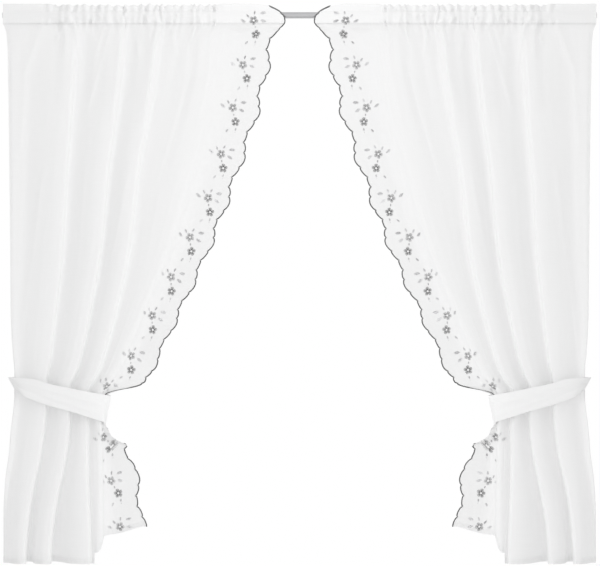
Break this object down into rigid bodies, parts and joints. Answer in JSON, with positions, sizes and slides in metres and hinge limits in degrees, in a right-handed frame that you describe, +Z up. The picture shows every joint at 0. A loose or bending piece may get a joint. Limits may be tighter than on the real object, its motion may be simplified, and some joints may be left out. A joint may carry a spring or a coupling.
{
  "type": "sheer voile curtain pair on a rod",
  "caption": "Sheer voile curtains gathered on a thin rod by a stitched pocket, drawn aside by fabric tiebacks, with a scalloped, embroidered leading border.",
  "frame": {"origin": "middle of the rod's axis, half way along its length", "axes": "+Z up, +X along the rod to the right of someone facing the curtains from the room, +Y from the room towards the window"},
  "size_m": [1.812, 0.0959, 1.7054],
  "materials": {
    "voile": "matt sheer weave, white",
    "rod_metal": "satin silver"
  },
  "bodies": {
    "root": {"rod": "rod_metal", "left_panel": "voile", "right_panel": "voile", "left_tieback": "voile", "right_tieback": "voile"}
  },
  "joints": []
}
